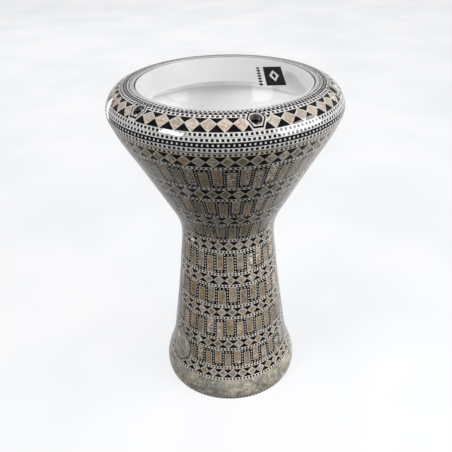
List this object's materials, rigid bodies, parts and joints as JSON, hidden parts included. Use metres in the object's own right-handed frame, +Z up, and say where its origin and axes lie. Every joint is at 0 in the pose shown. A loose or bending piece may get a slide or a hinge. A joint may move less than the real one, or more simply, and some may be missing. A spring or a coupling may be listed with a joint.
{
  "type": "darbuka",
  "caption": "Goblet drum with an open foot: inlaid metal shell, clear film head, and a rounded bolted collar that tensions the head.",
  "frame": {"origin": "centre of the foot, on the surface that the drum stands on", "axes": "+Z up along the drum's axis, -Y towards the front, the medallion to the left of the front"},
  "size_m": [0.293, 0.293, 0.4453],
  "materials": {
    "cast_metal": "cast, lightly polished",
    "clear_film": "clear gloss film",
    "hoop_metal": "satin",
    "bolt_steel": "dark oxide",
    "insert_steel": "plain",
    "shell_inlay": "mother of pearl and black inlay under gloss lacquer",
    "meander_inlay": "mother of pearl and black inlay under gloss lacquer",
    "collar_inlay": "mother of pearl and black inlay under gloss lacquer",
    "pearl": "mother of pearl under gloss lacquer",
    "bezel_inlay": "pale inlay under gloss lacquer"
  },
  "bodies": {
    "shell": {"shell_casting": "cast_metal", "drum_head": "clear_film", "head_hoop": "hoop_metal", "threaded_insert_1": "insert_steel", "threaded_insert_2": "insert_steel", "threaded_insert_3": "insert_steel", "threaded_insert_4": "insert_steel", "threaded_insert_5": "insert_steel", "threaded_insert_6": "insert_steel", "diamond_course_1": "shell_inlay", "diamond_course_2": "shell_inlay", "diamond_course_3": "shell_inlay", "diamond_course_4": "shell_inlay", "diamond_course_5": "shell_inlay", "diamond_course_6": "shell_inlay", "diamond_course_7": "shell_inlay", "diamond_course_8": "shell_inlay", "meander_course_1": "meander_inlay", "meander_course_2": "meander_inlay", "meander_course_3": "meander_inlay", "meander_course_4": "meander_inlay", "meander_course_5": "meander_inlay", "meander_course_6": "meander_inlay", "meander_course_7": "meander_inlay", "foot_pearl_band": "pearl", "foot_stringing": "shell_inlay", "medallion": "pearl"},
    "collar": {"collar_ring": "cast_metal", "collar_inner_stringing": "collar_inlay", "collar_diamond_course": "collar_inlay", "collar_outer_stringing": "collar_inlay", "bolt_bezel_1": "bezel_inlay", "bolt_bezel_2": "bezel_inlay", "bolt_bezel_3": "bezel_inlay", "bolt_bezel_4": "bezel_inlay", "bolt_bezel_5": "bezel_inlay", "bolt_bezel_6": "bezel_inlay"},
    "bolt_1": {"tuning_bolt_1": "bolt_steel"},
    "bolt_2": {"tuning_bolt_2": "bolt_steel"},
    "bolt_3": {"tuning_bolt_3": "bolt_steel"},
    "bolt_4": {"tuning_bolt_4": "bolt_steel"},
    "bolt_5": {"tuning_bolt_5": "bolt_steel"},
    "bolt_6": {"tuning_bolt_6": "bolt_steel"}
  },
  "joints": [
    {"name": "collar_lift", "type": "slide", "parent": "shell", "child": "collar", "axis": [0, 0, 1], "range_m": [0, 0.004]},
    {"name": "bolt_1_turn", "type": "hinge", "parent": "collar", "child": "bolt_1", "pos_m": [0.03155, -0.12653, 0.43], "axis": [0, 0, 1], "range_deg": [0, 1441]},
    {"name": "bolt_2_turn", "type": "hinge", "parent": "collar", "child": "bolt_2", "pos_m": [0.12535, -0.03594, 0.43], "axis": [0, 0, 1], "range_deg": [0, 1441]},
    {"name": "bolt_3_turn", "type": "hinge", "parent": "collar", "child": "bolt_3", "pos_m": [0.0938, 0.09058, 0.43], "axis": [0, 0, 1], "range_deg": [0, 1441]},
    {"name": "bolt_4_turn", "type": "hinge", "parent": "collar", "child": "bolt_4", "pos_m": [-0.03155, 0.12653, 0.43], "axis": [0, 0, 1], "range_deg": [0, 1441]},
    {"name": "bolt_5_turn", "type": "hinge", "parent": "collar", "child": "bolt_5", "pos_m": [-0.12535, 0.03594, 0.43], "axis": [0, 0, 1], "range_deg": [0, 1441]},
    {"name": "bolt_6_turn", "type": "hinge", "parent": "collar", "child": "bolt_6", "pos_m": [-0.0938, -0.09058, 0.43], "axis": [0, 0, 1], "range_deg": [0, 1441]}
  ],
  "couplings": [
    {"joint": "bolt_1_turn", "follows": "collar_lift", "rad_per_m": 6283.2},
    {"joint": "bolt_2_turn", "follows": "collar_lift", "rad_per_m": 6283.2},
    {"joint": "bolt_3_turn", "follows": "collar_lift", "rad_per_m": 6283.2},
    {"joint": "bolt_4_turn", "follows": "collar_lift", "rad_per_m": 6283.2},
    {"joint": "bolt_5_turn", "follows": "collar_lift", "rad_per_m": 6283.2},
    {"joint": "bolt_6_turn", "follows": "collar_lift", "rad_per_m": 6283.2}
  ]
}
